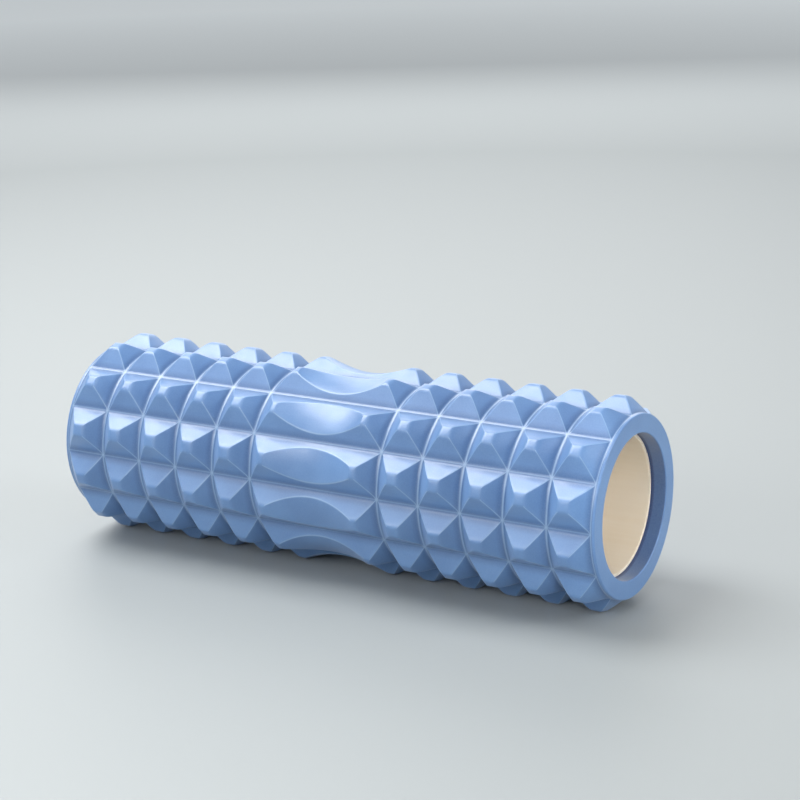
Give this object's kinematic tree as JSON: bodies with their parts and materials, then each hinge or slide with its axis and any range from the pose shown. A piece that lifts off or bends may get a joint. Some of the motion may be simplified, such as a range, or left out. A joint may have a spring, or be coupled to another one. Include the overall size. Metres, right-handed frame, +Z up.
{
  "type": "foam roller",
  "caption": "Hollow-core massage roller: a studded moulded foam sleeve with long saddle-shaped centre pads, bonded on a rigid tube that is open from end to end.",
  "frame": {"origin": "middle of the roller, on the axis of the core tube's bore", "axes": "+X along the axis of the roller, +Z up with a groove straight down, so that the roller stands on the two rows of studs either side of it"},
  "size_m": [0.3, 0.0998, 0.0998],
  "materials": {
    "foam": "satin moulded closed-cell foam",
    "core": "smooth matt"
  },
  "bodies": {
    "root": {"foam_sleeve": "foam", "core_tube": "core"}
  },
  "joints": []
}
